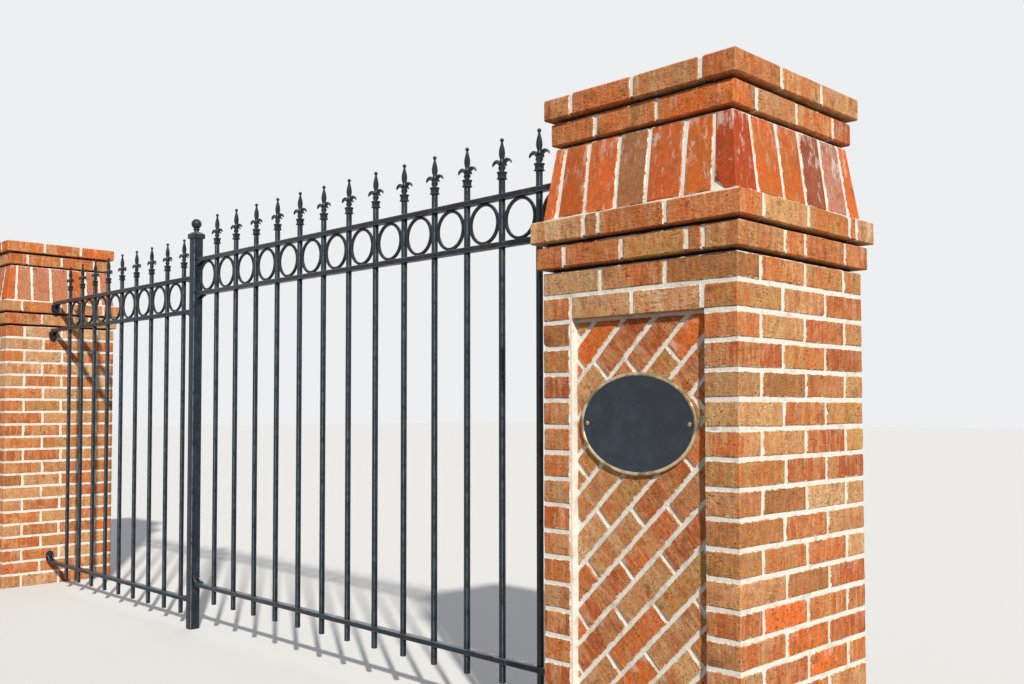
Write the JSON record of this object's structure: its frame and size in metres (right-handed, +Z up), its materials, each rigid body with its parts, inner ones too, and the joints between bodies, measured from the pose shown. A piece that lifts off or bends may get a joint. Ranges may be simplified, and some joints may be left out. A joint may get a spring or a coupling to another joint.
{
  "type": "iron fence run with brick piers",
  "caption": "Fixed run of black ornamental iron fence with a ring band and leafed finials, carried by a square ball-capped post between two square brick piers.",
  "frame": {"origin": "on the ground, on the piers' centre line, halfway between the two piers", "axes": "+X along the run towards the right pier, +Y away from the street, +Z up"},
  "size_m": [5.226, 0.65, 1.891],
  "materials": {
    "brick": "rough",
    "brick_diagonal": "rough",
    "brick_soldier": "rough",
    "plaque_field": "satin",
    "plaque_bronze": "aged",
    "black_iron": "satin"
  },
  "bodies": {
    "root": {"left_shaft": "brick", "left_diagonal_panel": "brick_diagonal", "left_band_lower": "brick", "left_band_upper": "brick", "left_soldier_course": "brick_soldier", "left_cap_lower": "brick", "left_cap_upper": "brick", "right_shaft": "brick", "right_diagonal_panel": "brick_diagonal", "right_band_lower": "brick", "right_band_upper": "brick", "right_soldier_course": "brick_soldier", "right_cap_lower": "brick", "right_cap_upper": "brick", "plaque_plate": "plaque_field", "plaque_rim": "plaque_bronze", "plaque_screws": "plaque_bronze", "left_panel": "black_iron", "right_panel": "black_iron", "left_rings": "black_iron", "right_rings": "black_iron", "left_finials": "black_iron", "right_finials": "black_iron", "post": "black_iron", "post_cap": "black_iron", "post_ball": "black_iron", "left_pier_brackets": "black_iron", "post_left_brackets": "black_iron", "post_right_brackets": "black_iron", "right_pier_brackets": "black_iron"}
  },
  "joints": []
}
